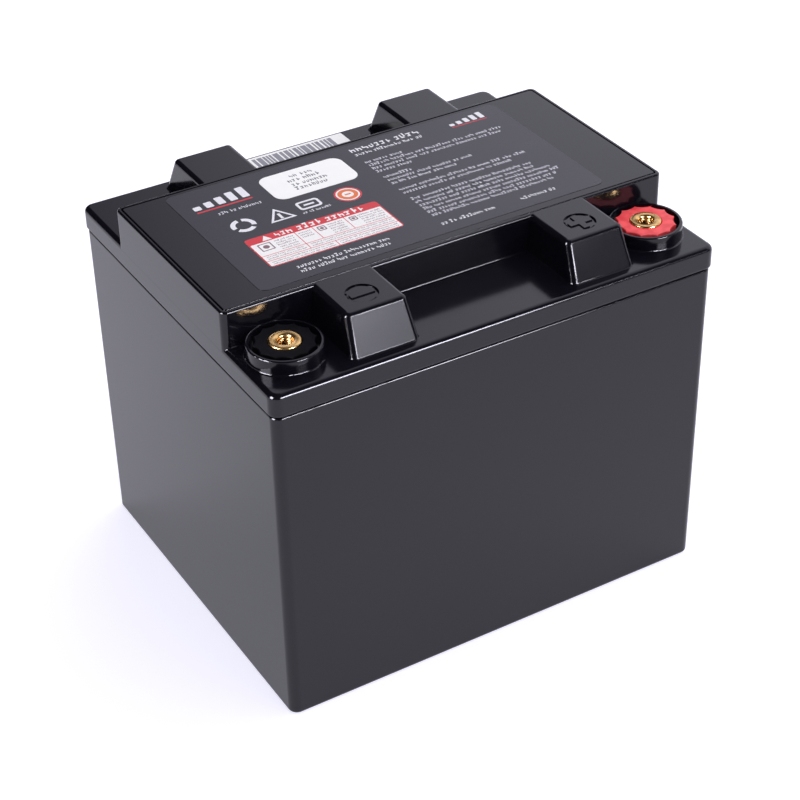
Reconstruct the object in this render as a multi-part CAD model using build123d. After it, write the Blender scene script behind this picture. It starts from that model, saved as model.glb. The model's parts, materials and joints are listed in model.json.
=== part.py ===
"""Sealed deep cycle battery: six lead-acid cells in one case, two threaded brass terminals.

Millimetres, +Z up. The origin is at the centre of the case's bottom face. +X runs along the long
side towards the positive terminal, and -Y is the side that both terminals stand on.
"""
from build123d import *
import math
import os

# Overall size
LENGTH = 198.8
WIDTH = 167.5
HEIGHT = 170.0

# Case: a slightly drafted box, a little smaller than the lid
CASE_BOTTOM_LENGTH = 197.0
CASE_BOTTOM_WIDTH = 165.5
CASE_TOP_LENGTH = 197.6
CASE_TOP_WIDTH = 166.2
CASE_CORNER = 4.0
CASE_WALL = 2.8
CASE_FLOOR = 3.2
CASE_BOTTOM_FILLET = 1.6
CASE_SHOULDER_FILLET = 1.1
SHOULDER_Z = 144.1
SEAM_Z = 144.7
SEAM_INSET = 1.2

# Cells: a row of six along X, with five partitions between them
CELLS = 6
CELL_PITCH = 32.0
PARTITION = 2.2
CELL_CORNER = 1.5

# Lid
LEDGE_Z = 154.3
LID_WALL = 3.0
LID_CORNER = 4.3
SKIRT_BOTTOM_FILLET = 0.8
LEDGE_EDGE_FILLET = 2.2
PLATEAU_WIDTH = 93.4
PLATEAU_CORNER = 2.75
PLATEAU_INSET = 0.02
PLATEAU_EDGE_FILLET = 0.9
FOOT_FILLET = 0.7
CHAMBER_CEILING_Z = 158.0

# Cover plate, let into the top of the lid over the vent chamber
COVER_THICKNESS = 2.5
POCKET_HALF_X = 97.9
POCKET_HALF_Y = 45.3
COVER_GAP = 0.55
COVER_CORNER = 1.4
COVER_EDGE_FILLET = 0.35
CHAMBER_HALF_X = 93.5
CHAMBER_HALF_Y = 41.0
CHAMBER_FLOOR_Z = 161.0

# Four lift blocks, two on each long side
BLOCK_TOP_X = (35.5, 61.7)
BLOCK_FOOT_X = (34.2, 63.2)
BLOCK_TOP_Y = 71.4
BLOCK_FOOT_Y = 78.4
BLOCK_CORNER = 2.3
BLOCK_EDGE_FILLET = 1.9
BLOCK_INNER_Y = 40.0
HOLLOW_CORNER = 1.0
HOLLOW_TOP_Z = 166.0

# Polarity marks on the tops of the front blocks
MARK_X = 48.9
MARK_Y = -61.0
MARK_RADIUS = 6.45
MARK_GROOVE = 0.85
MARK_GROOVE_DEPTH = 0.9
MARK_DISC_DEPTH = 0.5
MARK_BRIDGES = 6
MARK_BRIDGE_WIDTH = 1.9
MARK_BRIDGE_START = 17.0
MARK_ARM_LENGTH = 10.0
MARK_ARM_WIDTH = 2.6

# Terminals
TERMINAL_X = 81.4
TERMINAL_Y = -60.6
BOSS_TOP_RADIUS = 14.7
BOSS_FOOT_RADIUS = 14.9
BOSS_TOP_Z = 160.3
BOSS_EDGE_FILLET = 0.6
BOSS_RECESS_RADIUS = 13.5
BOSS_RECESS_Z = 156.8
COLLAR_RADIUS = 12.5
COLLAR_BOTTOM_Z = 146.5
COLLAR_BORE = 9.2
INSERT_RADIUS = 6.3
INSERT_TOP_Z = 160.8
INSERT_BOTTOM_Z = 146.0
INSERT_EDGE_FILLET = 0.7
THREAD_RADIUS = 2.5
THREAD_BOTTOM_Z = 148.3
THREAD_MOUTH = 1.0
RING_TOP_Z = 160.2
RING_TIP_RADIUS = 12.2
RING_VALLEY_RADIUS = 11.0
RING_TIPS = 12
RING_BORE = 6.45
RING_EDGE_CHAMFER = 0.25

# Lead posts and their rubber seals
POST_STEM_RADIUS = 6.5
POST_HEAD_RADIUS = 9.0
POST_HEAD_Z = 143.0
POST_TOP_Z = 156.6
SEAL_INNER_RADIUS = 7.8
SEAL_Z = (149.0, 151.2)

# Plates, separators and straps of one cell
POSITIVE_PLATES = 9
POSITIVE_THICKNESS = 1.25
NEGATIVE_THICKNESS = 1.05
SEPARATOR_THICKNESS = 0.38
END_CELL_X = 79.6
PLATE_HALF_WIDTH = 75.0
PLATE_TOP_Z = 119.0
SEPARATOR_HALF_WIDTH = 76.5
SEPARATOR_TOP_Z = 122.0
LUG_Y = 60.0
LUG_WIDTH = 13.0
STRAP_Z = (126.0, 134.0)
STRAP_WIDTH = 19.0
STRAP_HALF_LENGTH = 13.8
TOMBSTONE_THICKNESS = 4.0
TOMBSTONE_TOP_Z = 142.5
WELD_Z = 137.6
WELD_RADIUS = 4.3

# Relief valves: a rubber cap over a vent nozzle, one for each cell
NOZZLE_RADIUS = 4.2
NOZZLE_TOP_Z = 165.1
VENT_HOLE_RADIUS = 1.6
CAP_RADIUS = 6.2
CAP_BORE = 4.5
CAP_BOTTOM_Z = 161.9
CAP_TOP_Z = 166.6
CAP_EDGE_FILLET = 0.6
GUIDE_INNER_RADIUS = 6.6
GUIDE_OUTER_RADIUS = 7.8
GUIDE_TOP_Z = 163.4

# Labels
FILM_THICKNESS = 0.15
TOP_LABEL_X = (-80.0, 75.6)
TOP_LABEL_Y = (-40.7, 42.7)
TOP_LABEL_CORNER = 3.5
RATING_LABEL_X = (-42.0, -4.2)
RATING_LABEL_Y = (16.1, 36.7)
RATING_LABEL_CORNER = 4.5
BARCODE_LABEL_X = (-23.9, 22.3)
BARCODE_LABEL_Y = (57.0, 81.2)
BARCODE_LABEL_CORNER = 0.8

# How far a joined or cut shape runs past the face that it meets
OVERLAP = 1.0
LEVEL_TOLERANCE = 0.01
RIM_MARGIN = 0.1

UPRIGHT = (Align.CENTER, Align.CENTER, Align.MIN)


def drum(radius, bottom, top):
    """Upright cylinder between two heights."""
    return Pos(0, 0, bottom) * Cylinder(radius, top - bottom, align=UPRIGHT)


def tube(outer, inner, bottom, top):
    """Upright ring between two heights."""
    return drum(outer, bottom, top) - drum(inner, bottom, top)


def span_box(x_span, y_span, z_span):
    """Box given by its lowest and highest coordinates along each axis."""
    spans = (x_span, y_span, z_span)
    middle = [(low + high) / 2 for low, high in spans]
    sides = [high - low for low, high in spans]
    return Pos(*middle) * Box(*sides)


def rounded_plate(x_span, y_span, z_span, corner):
    """Flat plate with rounded corners in plan."""
    middle_x = (x_span[0] + x_span[1]) / 2
    middle_y = (y_span[0] + y_span[1]) / 2
    outline = RectangleRounded(x_span[1] - x_span[0], y_span[1] - y_span[0], corner)
    return extrude(Pos(middle_x, middle_y, z_span[0]) * outline, z_span[1] - z_span[0])


def edges_at(shape, height):
    """Edges that lie wholly in the horizontal plane at this height."""
    level = []
    for edge in shape.edges():
        box = edge.bounding_box()
        lowest = abs(box.min.Z - height)
        highest = abs(box.max.Z - height)
        if max(lowest, highest) < LEVEL_TOLERANCE:
            level.append(edge)
    return level


def cell_span(index):
    """Inner X span of a cell, from the negative end of the row."""
    half_row = CELLS * CELL_PITCH / 2
    low = -half_row + index * CELL_PITCH + PARTITION / 2
    high = -half_row + (index + 1) * CELL_PITCH - PARTITION / 2
    end_wall = CASE_BOTTOM_LENGTH / 2 - CASE_WALL
    return max(low, -end_wall), min(high, end_wall)


def stack_centre(index):
    """X of the middle of a cell's plate stack."""
    if index == 0:
        return -END_CELL_X
    if index == CELLS - 1:
        return END_CELL_X
    return (index - (CELLS - 1) / 2) * CELL_PITCH


def partition_x(index):
    """X of the partition after a cell."""
    return (index + 1 - CELLS / 2) * CELL_PITCH


def weld_side(index):
    """Side, -1 front or +1 back, of the weld between a cell and the next one."""
    return 1 if index % 2 == 0 else -1


def case():
    """Open box with five partitions, welded to the lid along its rim."""
    foot = RectangleRounded(CASE_BOTTOM_LENGTH, CASE_BOTTOM_WIDTH, CASE_CORNER)
    shoulder = RectangleRounded(CASE_TOP_LENGTH, CASE_TOP_WIDTH, CASE_CORNER)
    body = loft([foot, Pos(0, 0, SHOULDER_Z) * shoulder])
    body = fillet(edges_at(body, 0), CASE_BOTTOM_FILLET)
    body = fillet(edges_at(body, SHOULDER_Z), CASE_SHOULDER_FILLET)
    rim_x = CASE_TOP_LENGTH / 2 - SEAM_INSET
    rim_y = CASE_TOP_WIDTH / 2 - SEAM_INSET
    body += rounded_plate((-rim_x, rim_x), (-rim_y, rim_y), (SHOULDER_Z - OVERLAP, SEAM_Z), CASE_CORNER)
    half_inside = CASE_BOTTOM_WIDTH / 2 - CASE_WALL
    for index in range(CELLS):
        cell_y = (-half_inside, half_inside)
        body -= rounded_plate(cell_span(index), cell_y, (CASE_FLOOR, SEAM_Z), CELL_CORNER)
    for index in range(CELLS - 1):
        centre = Pos(partition_x(index), weld_side(index) * LUG_Y, WELD_Z)
        body -= centre * Rot(0, 90, 0) * Cylinder(WELD_RADIUS, PARTITION)
    return body


def lift_block(side_x, side_y):
    """Raised block with a sloped outer face, on the ledge beside the plateau."""
    foot_x, top_x = BLOCK_FOOT_X, BLOCK_TOP_X
    foot = RectangleRounded(foot_x[1] - foot_x[0], BLOCK_FOOT_Y - BLOCK_INNER_Y, BLOCK_CORNER)
    top = RectangleRounded(top_x[1] - top_x[0], BLOCK_TOP_Y - BLOCK_INNER_Y, BLOCK_CORNER)
    foot_y = side_y * (BLOCK_FOOT_Y + BLOCK_INNER_Y) / 2
    top_y = side_y * (BLOCK_TOP_Y + BLOCK_INNER_Y) / 2
    foot = Pos(side_x * sum(foot_x) / 2, foot_y, LEDGE_Z) * foot
    top = Pos(side_x * sum(top_x) / 2, top_y, HEIGHT) * top
    block = loft([foot, top])
    return fillet(edges_at(block, HEIGHT), BLOCK_EDGE_FILLET)


def block_hollow(side_x, side_y):
    """Space inside a lift block, open to the cell below."""
    foot_length = BLOCK_FOOT_X[1] - BLOCK_FOOT_X[0] - 2 * LID_WALL
    top_length = BLOCK_TOP_X[1] - BLOCK_TOP_X[0] - 2 * LID_WALL
    inner_y = BLOCK_INNER_Y + LID_WALL
    foot_y = side_y * (BLOCK_FOOT_Y - LID_WALL + inner_y) / 2
    top_y = side_y * (BLOCK_TOP_Y - LID_WALL + inner_y) / 2
    foot = RectangleRounded(foot_length, BLOCK_FOOT_Y - LID_WALL - inner_y, HOLLOW_CORNER)
    top = RectangleRounded(top_length, BLOCK_TOP_Y - LID_WALL - inner_y, HOLLOW_CORNER)
    foot = Pos(side_x * sum(BLOCK_FOOT_X) / 2, foot_y, LEDGE_Z - LID_WALL - OVERLAP) * foot
    top = Pos(side_x * sum(BLOCK_TOP_X) / 2, top_y, HOLLOW_TOP_Z) * top
    return loft([foot, top])


def terminal_centre(side):
    """Location of a terminal's axis, -1 negative or +1 positive."""
    return Pos(side * TERMINAL_X, TERMINAL_Y, 0)


def terminal_boss():
    """Round wall that stands on the ledge around a terminal."""
    bottom = LEDGE_Z - OVERLAP
    wall = Cone(BOSS_FOOT_RADIUS, BOSS_TOP_RADIUS, BOSS_TOP_Z - bottom, align=UPRIGHT)
    boss = Pos(0, 0, bottom) * wall
    return fillet(edges_at(boss, BOSS_TOP_Z), BOSS_EDGE_FILLET)


def polarity_mark(side):
    """Cutter for the mark in a block's top: a broken ring around a raised minus or plus."""
    inner = MARK_RADIUS - MARK_GROOVE
    span_z = (HEIGHT - MARK_GROOVE_DEPTH, HEIGHT + OVERLAP)
    disc = drum(MARK_RADIUS, HEIGHT - MARK_DISC_DEPTH, HEIGHT + OVERLAP)
    groove = tube(MARK_RADIUS, inner, *span_z)
    bridge_x = (inner - OVERLAP, MARK_RADIUS + OVERLAP)
    bridge = span_box(bridge_x, (-MARK_BRIDGE_WIDTH / 2, MARK_BRIDGE_WIDTH / 2), span_z)
    for index in range(MARK_BRIDGES):
        groove -= Rot(0, 0, MARK_BRIDGE_START + index * 360 / MARK_BRIDGES) * bridge
    along = (-MARK_ARM_LENGTH / 2, MARK_ARM_LENGTH / 2)
    across = (-MARK_ARM_WIDTH / 2, MARK_ARM_WIDTH / 2)
    sign = span_box(along, across, span_z)
    if side > 0:
        sign += span_box(across, along, span_z)
    return Pos(side * MARK_X, MARK_Y, 0) * (disc + groove - sign)


def lid_outside():
    """The lid's solid outline, before its pocket, chamber and hollows are cut."""
    span_x = (-LENGTH / 2, LENGTH / 2)
    skirt = rounded_plate(span_x, (-WIDTH / 2, WIDTH / 2), (SEAM_Z, LEDGE_Z), LID_CORNER)
    skirt = fillet(edges_at(skirt, SEAM_Z), SKIRT_BOTTOM_FILLET)
    skirt = fillet(edges_at(skirt, LEDGE_Z), LEDGE_EDGE_FILLET)
    half_width = PLATEAU_WIDTH / 2
    span_z = (SEAM_Z + SKIRT_BOTTOM_FILLET + OVERLAP, HEIGHT)
    half_length = LENGTH / 2 - PLATEAU_INSET
    plateau = rounded_plate((-half_length, half_length), (-half_width, half_width), span_z, PLATEAU_CORNER)
    plateau = fillet(edges_at(plateau, HEIGHT), PLATEAU_EDGE_FILLET)
    body = skirt + plateau
    for side_x in (-1, 1):
        for side_y in (-1, 1):
            body += lift_block(side_x, side_y)
    return body


def foot_edges(body):
    """Edges on the ledges where plateau, blocks and bosses rise, without the ledges' own rims."""
    rim_x = LENGTH / 2 - LEDGE_EDGE_FILLET
    rim_y = WIDTH / 2 - LEDGE_EDGE_FILLET
    feet = []
    for edge in edges_at(body, LEDGE_Z):
        box = edge.bounding_box()
        reach_x = max(-box.min.X, box.max.X)
        reach_y = max(-box.min.Y, box.max.Y)
        if reach_x < rim_x - RIM_MARGIN and reach_y < rim_y - RIM_MARGIN:
            feet.append(edge)
    return feet


def lid():
    """One moulding: skirt, ledges, plateau, lift blocks, terminal bosses and vent nozzles."""
    body = lid_outside()
    for side in (-1, 1):
        body += terminal_centre(side) * terminal_boss()
    body = fillet(foot_edges(body), FOOT_FILLET)
    half_inside = CASE_BOTTOM_WIDTH / 2 - CASE_WALL
    for index in range(CELLS):
        x_span = cell_span(index)
        body -= rounded_plate(x_span, (-half_inside, half_inside), (SEAM_Z, LEDGE_Z - LID_WALL), CELL_CORNER)
        dome_half = PLATEAU_WIDTH / 2 - LID_WALL
        body -= rounded_plate(x_span, (-dome_half, dome_half), (SEAM_Z, CHAMBER_CEILING_Z), CELL_CORNER)
    for side_x in (-1, 1):
        for side_y in (-1, 1):
            body -= block_hollow(side_x, side_y)
    pocket_x = (-POCKET_HALF_X, POCKET_HALF_X)
    pocket_y = (-POCKET_HALF_Y, POCKET_HALF_Y)
    body -= rounded_plate(pocket_x, pocket_y, (HEIGHT - COVER_THICKNESS, HEIGHT), COVER_CORNER)
    chamber_x = (-CHAMBER_HALF_X, CHAMBER_HALF_X)
    chamber_y = (-CHAMBER_HALF_Y, CHAMBER_HALF_Y)
    body -= rounded_plate(chamber_x, chamber_y, (CHAMBER_FLOOR_Z, HEIGHT), COVER_CORNER)
    for index in range(CELLS):
        centre = Pos(stack_centre(index), 0, 0)
        root_z = CHAMBER_FLOOR_Z - OVERLAP
        body += centre * drum(NOZZLE_RADIUS, root_z, NOZZLE_TOP_Z)
        body += centre * tube(GUIDE_OUTER_RADIUS, GUIDE_INNER_RADIUS, root_z, GUIDE_TOP_Z)
        body -= centre * drum(VENT_HOLE_RADIUS, CHAMBER_CEILING_Z - OVERLAP, NOZZLE_TOP_Z)
    for side in (-1, 1):
        body += terminal_centre(side) * drum(COLLAR_RADIUS, COLLAR_BOTTOM_Z, LEDGE_Z - OVERLAP)
        body -= terminal_centre(side) * drum(COLLAR_BORE, COLLAR_BOTTOM_Z, BOSS_RECESS_Z)
        body -= terminal_centre(side) * drum(BOSS_RECESS_RADIUS, BOSS_RECESS_Z, HEIGHT)
        body -= polarity_mark(side)
    return body


def cover_plate():
    """Plate welded into the lid's pocket, over the relief valves."""
    half_x = POCKET_HALF_X - COVER_GAP
    half_y = POCKET_HALF_Y - COVER_GAP
    span_z = (HEIGHT - COVER_THICKNESS, HEIGHT)
    plate = rounded_plate((-half_x, half_x), (-half_y, half_y), span_z, COVER_CORNER)
    return fillet(edges_at(plate, HEIGHT), COVER_EDGE_FILLET)


def valve_cap(index):
    """Rubber cap that sits over a vent nozzle and lifts to let gas out."""
    cap = drum(CAP_RADIUS, CAP_BOTTOM_Z, CAP_TOP_Z)
    cap = fillet(edges_at(cap, CAP_TOP_Z), CAP_EDGE_FILLET)
    cap -= drum(CAP_BORE, CAP_BOTTOM_Z, NOZZLE_TOP_Z)
    return Pos(stack_centre(index), 0, 0) * cap


def terminal_insert(side):
    """Brass bush with an M6 thread, set in the head of the lead post."""
    bush = drum(INSERT_RADIUS, INSERT_BOTTOM_Z, INSERT_TOP_Z)
    bush = fillet(edges_at(bush, INSERT_TOP_Z), INSERT_EDGE_FILLET)
    bush -= drum(THREAD_RADIUS, THREAD_BOTTOM_Z, INSERT_TOP_Z)
    mouth = Cone(THREAD_RADIUS, THREAD_RADIUS + THREAD_MOUTH, THREAD_MOUTH, align=UPRIGHT)
    bush -= Pos(0, 0, INSERT_TOP_Z - THREAD_MOUTH) * mouth
    return terminal_centre(side) * bush


def polarity_ring(side):
    """Coloured ring with a scalloped edge, around the brass insert."""
    ring = tube(RING_TIP_RADIUS, RING_BORE, BOSS_RECESS_Z, RING_TOP_Z)
    half_step = math.radians(180 / RING_TIPS)
    half_chord = RING_TIP_RADIUS * math.sin(half_step)
    sagitta = RING_TIP_RADIUS * math.cos(half_step) - RING_VALLEY_RADIUS
    scallop_radius = (half_chord**2 + sagitta**2) / (2 * sagitta)
    for index in range(RING_TIPS):
        scallop = Pos(RING_VALLEY_RADIUS + scallop_radius, 0, 0)
        scallop *= drum(scallop_radius, BOSS_RECESS_Z, RING_TOP_Z)
        ring -= Rot(0, 0, index * 360 / RING_TIPS) * scallop
    ring = chamfer(edges_at(ring, RING_TOP_Z), RING_EDGE_CHAMFER)
    return terminal_centre(side) * ring


def terminal_seal(side):
    """Rubber ring between the lead post and the lid's collar."""
    return terminal_centre(side) * tube(COLLAR_BORE, SEAL_INNER_RADIUS, *SEAL_Z)


def post(side):
    """Lead post that rises from the end cell's strap and holds the brass insert."""
    body = drum(POST_STEM_RADIUS, STRAP_Z[1], POST_HEAD_Z)
    body += drum(POST_HEAD_RADIUS, POST_HEAD_Z, POST_TOP_Z)
    body -= drum(INSERT_RADIUS, INSERT_BOTTOM_Z, POST_TOP_Z)
    body -= tube(POST_HEAD_RADIUS + OVERLAP, SEAL_INNER_RADIUS, *SEAL_Z)
    return terminal_centre(side) * body


def plate_layout(index):
    """X spans of a cell's plates and separators: lists for positive, negative and separator."""
    negative_plates = POSITIVE_PLATES + 1
    separators = 2 * POSITIVE_PLATES
    thickness = POSITIVE_PLATES * POSITIVE_THICKNESS + negative_plates * NEGATIVE_THICKNESS
    thickness += separators * SEPARATOR_THICKNESS
    x = stack_centre(index) - thickness / 2
    layout = {"positive": [], "negative": [], "separator": []}
    for number in range(POSITIVE_PLATES + negative_plates):
        kind = "negative" if number % 2 == 0 else "positive"
        plate = NEGATIVE_THICKNESS if kind == "negative" else POSITIVE_THICKNESS
        layout[kind].append((x, x + plate))
        x += plate
        if number < separators:
            layout["separator"].append((x, x + SEPARATOR_THICKNESS))
            x += SEPARATOR_THICKNESS
    return layout


def lug_side(index, kind):
    """Side, -1 front or +1 back, that a cell's lugs of one polarity stand on."""
    positive_side = weld_side(index)
    return positive_side if kind == "positive" else -positive_side


def plates(index, kind):
    """All plates of one polarity in a cell, each with its lug."""
    lug_y = lug_side(index, kind) * LUG_Y
    group = []
    for x_span in plate_layout(index)[kind]:
        grid = span_box(x_span, (-PLATE_HALF_WIDTH, PLATE_HALF_WIDTH), (CASE_FLOOR, PLATE_TOP_Z))
        lug = span_box(x_span, (lug_y - LUG_WIDTH / 2, lug_y + LUG_WIDTH / 2), (PLATE_TOP_Z, STRAP_Z[0]))
        group.append(grid + lug)
    return Compound(group)


def separators(index):
    """The glass mat sheets between a cell's plates."""
    y_span = (-SEPARATOR_HALF_WIDTH, SEPARATOR_HALF_WIDTH)
    group = []
    for x_span in plate_layout(index)["separator"]:
        group.append(span_box(x_span, y_span, (CASE_FLOOR, SEPARATOR_TOP_Z)))
    return Compound(group)


def strap(index, kind):
    """Cast bar across the lugs of one polarity, welded through the partition to the next cell."""
    side = lug_side(index, kind)
    centre_x = stack_centre(index)
    lug_y = side * LUG_Y
    y_span = (lug_y - STRAP_WIDTH / 2, lug_y + STRAP_WIDTH / 2)
    x_span = (centre_x - STRAP_HALF_LENGTH, centre_x + STRAP_HALF_LENGTH)
    bar = span_box(x_span, y_span, STRAP_Z)
    last = index == CELLS - 1
    if (kind == "positive" and last) or (kind == "negative" and index == 0):
        return bar
    toward = 1 if kind == "positive" else -1
    wall = partition_x(index if kind == "positive" else index - 1)
    face = wall - toward * PARTITION / 2
    tombstone_x = sorted((face, face - toward * TOMBSTONE_THICKNESS))
    tombstone = span_box(tombstone_x, y_span, (STRAP_Z[0], TOMBSTONE_TOP_Z))
    nugget = Pos(wall - toward * PARTITION / 4, lug_y, WELD_Z) * Rot(0, 90, 0)
    nugget *= Cylinder(WELD_RADIUS, PARTITION / 2)
    return bar + tombstone + nugget


def top_label():
    """Printed film on the cover plate."""
    span_z = (HEIGHT, HEIGHT + FILM_THICKNESS)
    return rounded_plate(TOP_LABEL_X, TOP_LABEL_Y, span_z, TOP_LABEL_CORNER)


def rating_label():
    """Small white sticker on the printed film."""
    span_z = (HEIGHT + FILM_THICKNESS, HEIGHT + 2 * FILM_THICKNESS)
    return rounded_plate(RATING_LABEL_X, RATING_LABEL_Y, span_z, RATING_LABEL_CORNER)


def barcode_label():
    """White sticker on the back ledge, between the lift blocks."""
    span_z = (LEDGE_Z, LEDGE_Z + FILM_THICKNESS)
    return rounded_plate(BARCODE_LABEL_X, BARCODE_LABEL_Y, span_z, BARCODE_LABEL_CORNER)


def all_parts():
    """Every sub-part by name."""
    parts = {
        "case": case(),
        "lid": lid(),
        "cover_plate": cover_plate(),
        "top_label": top_label(),
        "rating_label": rating_label(),
        "barcode_label": barcode_label(),
    }
    for name, side in (("negative", -1), ("positive", 1)):
        parts[f"{name}_terminal_insert"] = terminal_insert(side)
        parts[f"{name}_polarity_ring"] = polarity_ring(side)
        parts[f"{name}_terminal_seal"] = terminal_seal(side)
        parts[f"{name}_post"] = post(side)
    for index in range(CELLS):
        cell = f"cell_{index + 1}"
        for kind in ("positive", "negative"):
            parts[f"{cell}_{kind}_plates"] = plates(index, kind)
            parts[f"{cell}_{kind}_strap"] = strap(index, kind)
        parts[f"{cell}_separators"] = separators(index)
        parts[f"valve_cap_{index + 1}"] = valve_cap(index)
    return parts


os.makedirs("parts", exist_ok=True)
for node, shape in all_parts().items():
    export_step(shape, f"parts/{node}.step")
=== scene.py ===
"""Looks of the sealed deep cycle battery: finishes, printed labels, threaded bushes and a studio."""
import json
import math
import random

import bmesh
import bpy
from mathutils import Matrix, Vector


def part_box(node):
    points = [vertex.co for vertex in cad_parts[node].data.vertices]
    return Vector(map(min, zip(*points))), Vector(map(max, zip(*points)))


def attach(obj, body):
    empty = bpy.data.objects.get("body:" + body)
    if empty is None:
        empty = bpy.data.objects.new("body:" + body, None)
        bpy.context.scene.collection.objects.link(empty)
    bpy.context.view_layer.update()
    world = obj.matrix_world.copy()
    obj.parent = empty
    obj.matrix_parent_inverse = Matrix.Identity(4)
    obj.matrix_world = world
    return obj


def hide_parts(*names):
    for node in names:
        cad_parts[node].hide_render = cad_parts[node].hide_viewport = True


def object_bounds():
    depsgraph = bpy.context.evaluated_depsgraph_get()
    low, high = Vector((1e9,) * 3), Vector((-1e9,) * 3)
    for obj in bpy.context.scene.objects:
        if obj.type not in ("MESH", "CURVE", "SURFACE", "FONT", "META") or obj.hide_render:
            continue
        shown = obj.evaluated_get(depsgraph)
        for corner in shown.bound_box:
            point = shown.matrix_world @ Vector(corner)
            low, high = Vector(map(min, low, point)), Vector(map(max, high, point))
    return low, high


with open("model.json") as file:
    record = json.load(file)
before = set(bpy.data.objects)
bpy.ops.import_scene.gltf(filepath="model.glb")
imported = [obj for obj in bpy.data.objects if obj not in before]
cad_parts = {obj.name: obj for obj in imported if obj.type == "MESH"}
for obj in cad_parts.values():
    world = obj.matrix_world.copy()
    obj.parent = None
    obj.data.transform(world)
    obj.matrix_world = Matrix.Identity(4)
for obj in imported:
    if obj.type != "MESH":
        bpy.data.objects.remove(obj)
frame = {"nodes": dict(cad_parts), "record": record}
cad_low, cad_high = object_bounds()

MM = 0.001
SEED = 42

# Camera: the lens and the sensor in millimetres, angles in degrees, distances in metres
CAMERA_LENS = 92.0166
CAMERA_SENSOR = 36.0
CAMERA_AZIMUTH = -30.298
CAMERA_ELEVATION = 34.606
CAMERA_ROLL = -1.2186
CAMERA_DISTANCE = 0.8644
CAMERA_AIM = Vector((-0.002434, -0.007686, -0.011397))

# Studio: angles in degrees, distances in metres
FLOOR_SIZE = 8.0
FLOOR_COLOUR = (0.60, 0.60, 0.60)
FLOOR_GLOW = 0.44
FLOOR_SEEN = 0.22
ROOM_DARK = 0.015
ROOM_BRIGHT = 1.1
BACKGROUND = 1.15
BACKDROP_AZIMUTH = 110.0
BACKDROP_ELEVATION = 20.0
BACKDROP_EDGE = 53.0
BACKDROP_CORE = 30.0
FILL_STRENGTH = 3.15
FILL_ANGLE = 130.0
FILL_AZIMUTH = 40.0
FILL_ELEVATION = 58.0
LIGHT_TINT = (0.955, 0.945, 1.08)
BOX_DISTANCE = 6.0
RIGHT_BOX = {"azimuth": 17.5, "elevation": 21.0, "width": 25.0, "height": 12.0, "radiance": 45.0}
RIGHT_SKIRT = {"azimuth": 15.5, "elevation": 7.0, "width": 24.0, "height": 14.0, "radiance": 2.8}
LEFT_BOX = {"azimuth": -87.0, "elevation": 22.0, "width": 26.0, "height": 34.0, "radiance": 30.0}

# Finishes. A pair of colours or of roughnesses is the two ends that a surface varies between.
# The reach of the wear and the pitches of the turning marks and grid wires are in millimetres.
PLASTIC_IOR = 1.46
PLASTIC_ROUGHNESS = (0.11, 0.15)
PLASTIC_COLOURS = ((0.0040, 0.0037, 0.0060), (0.0056, 0.0052, 0.0082))
SCUFF_ROUGHNESS = 0.07
WORN_COLOUR = (0.04, 0.04, 0.047)
WORN_SHARE = 0.25
WORN_ROUGHNESS = 0.14
WORN_REACH = 2.2
FILM_ROUGHNESS = (0.26, 0.32)
FILM_COLOURS = ((0.030, 0.029, 0.035), (0.036, 0.035, 0.042))
PAPER_COLOUR = (0.97, 0.97, 0.88)
BRASS_COLOURS = ((0.90, 0.58, 0.225), (0.50, 0.30, 0.115))
TURNING_PITCH = 0.16
BLACK_RING = {"shade": (0.006, 0.006, 0.008), "deep": (0.003, 0.003, 0.004), "ior": 1.12}
RED_RING = {"shade": (0.97, 0.10, 0.10), "deep": (0.80, 0.050, 0.055), "ior": 1.4}
SEAL_COLOUR = (0.02, 0.02, 0.02)
VALVE_COLOUR = (0.035, 0.035, 0.035)
MAT_COLOURS = ((0.70, 0.70, 0.66), (0.90, 0.90, 0.87))
POSITIVE_PLATE = {"paste": (0.10, 0.045, 0.025), "grid": (0.20, 0.19, 0.19)}
NEGATIVE_PLATE = {"paste": (0.26, 0.27, 0.29), "grid": (0.36, 0.36, 0.38)}
GRID_PITCHES = (6.0, 9.0)
LEAD_COLOURS = ((0.40, 0.41, 0.44), (0.22, 0.23, 0.26))

# Print thicknesses, in millimetres
INK = 0.02
OVERPRINT = 0.015
STICKER_SHEET = 0.11
ON_FILM = (0.0, INK)
ON_INK = (INK, INK + OVERPRINT)
ON_OVERPRINT = (INK + OVERPRINT, INK + 2 * OVERPRINT)
ON_STICKER = (STICKER_SHEET, STICKER_SHEET + OVERPRINT)

# Printing inks
BRIGHT_INK = (0.86, 0.86, 0.84)
GREY_INK = (0.74, 0.74, 0.75)
RED_INK = (0.72, 0.035, 0.045)
ORANGE_INK = (0.85, 0.20, 0.05)
PANEL_INK = (0.96, 0.95, 0.87)
PANEL_TEXT_INK = (0.26, 0.15, 0.16)
RATING_INK = (0.16, 0.16, 0.18)
BAR_INK = (0.30, 0.30, 0.32)


# ---------------------------------------------------------------- materials

def feed(tree, socket, value):
    """Links an input to another node's socket, or gives it a number, a vector or an opaque colour."""
    if isinstance(value, bpy.types.NodeSocket):
        tree.links.new(value, socket)
    elif socket.type == "RGBA":
        socket.default_value = (*value, 1.0)
    else:
        socket.default_value = value


def add_node(tree, kind, **inputs):
    """New shader node with its named inputs fed."""
    node = tree.nodes.new("ShaderNode" + kind)
    for name, value in inputs.items():
        feed(tree, node.inputs[name.replace("_", " ")], value)
    return node


def add_operation(tree, kind, operation, first, second):
    """New node that works on two numbers or on two vectors."""
    node = add_node(tree, kind)
    node.operation = operation
    feed(tree, node.inputs[0], first)
    feed(tree, node.inputs[1], second)
    return node


def calculate(tree, operation, first, second=0.0):
    """Result of a Math node on one or two numbers."""
    return add_operation(tree, "Math", operation, first, second).outputs[0]


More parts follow.
